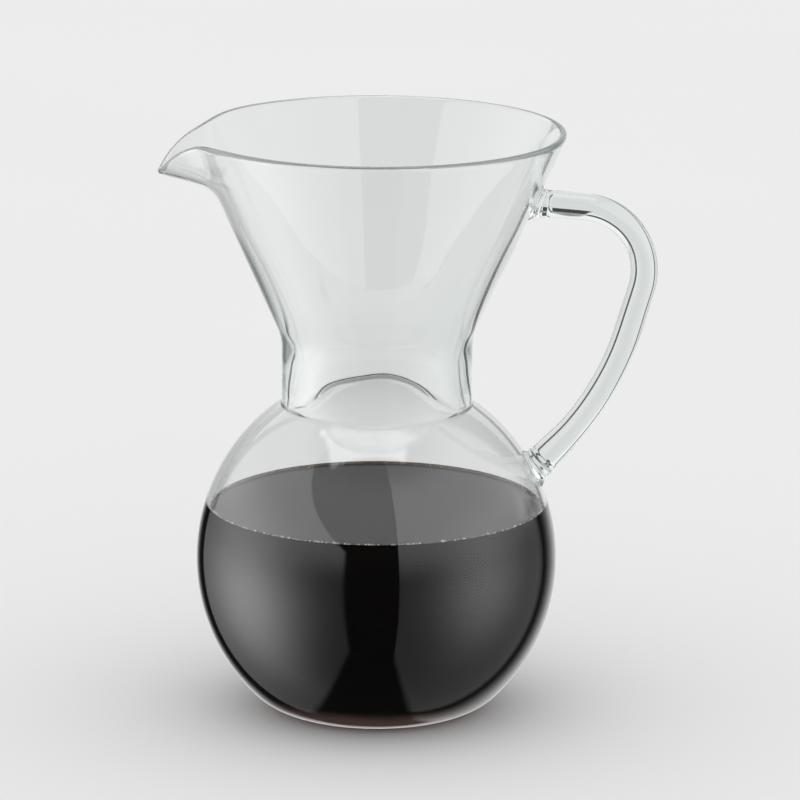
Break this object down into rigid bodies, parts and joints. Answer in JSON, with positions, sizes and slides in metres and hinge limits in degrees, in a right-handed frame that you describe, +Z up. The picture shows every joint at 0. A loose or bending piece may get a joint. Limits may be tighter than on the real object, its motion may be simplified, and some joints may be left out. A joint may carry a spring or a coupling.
{
  "type": "coffee carafe",
  "caption": "Hourglass coffee carafe of clear blown glass: round bulb holding coffee, straight waist, funnel with a pulled pour spout, and a fused glass rod handle.",
  "frame": {"origin": "middle of the standing face, on the axis of the bulb", "axes": "+Z up along the axis of the carafe, +X towards the handle, -X towards the pour spout"},
  "size_m": [0.1786, 0.134, 0.212],
  "materials": {
    "clear_glass": "clear fire-polished glass, faintly green where it is thick",
    "coffee": "still black coffee, reddish brown where it is thin"
  },
  "bodies": {
    "root": {"vessel": "clear_glass", "handle": "clear_glass", "upper_weld": "clear_glass", "lower_weld": "clear_glass", "coffee": "coffee"}
  },
  "joints": []
}
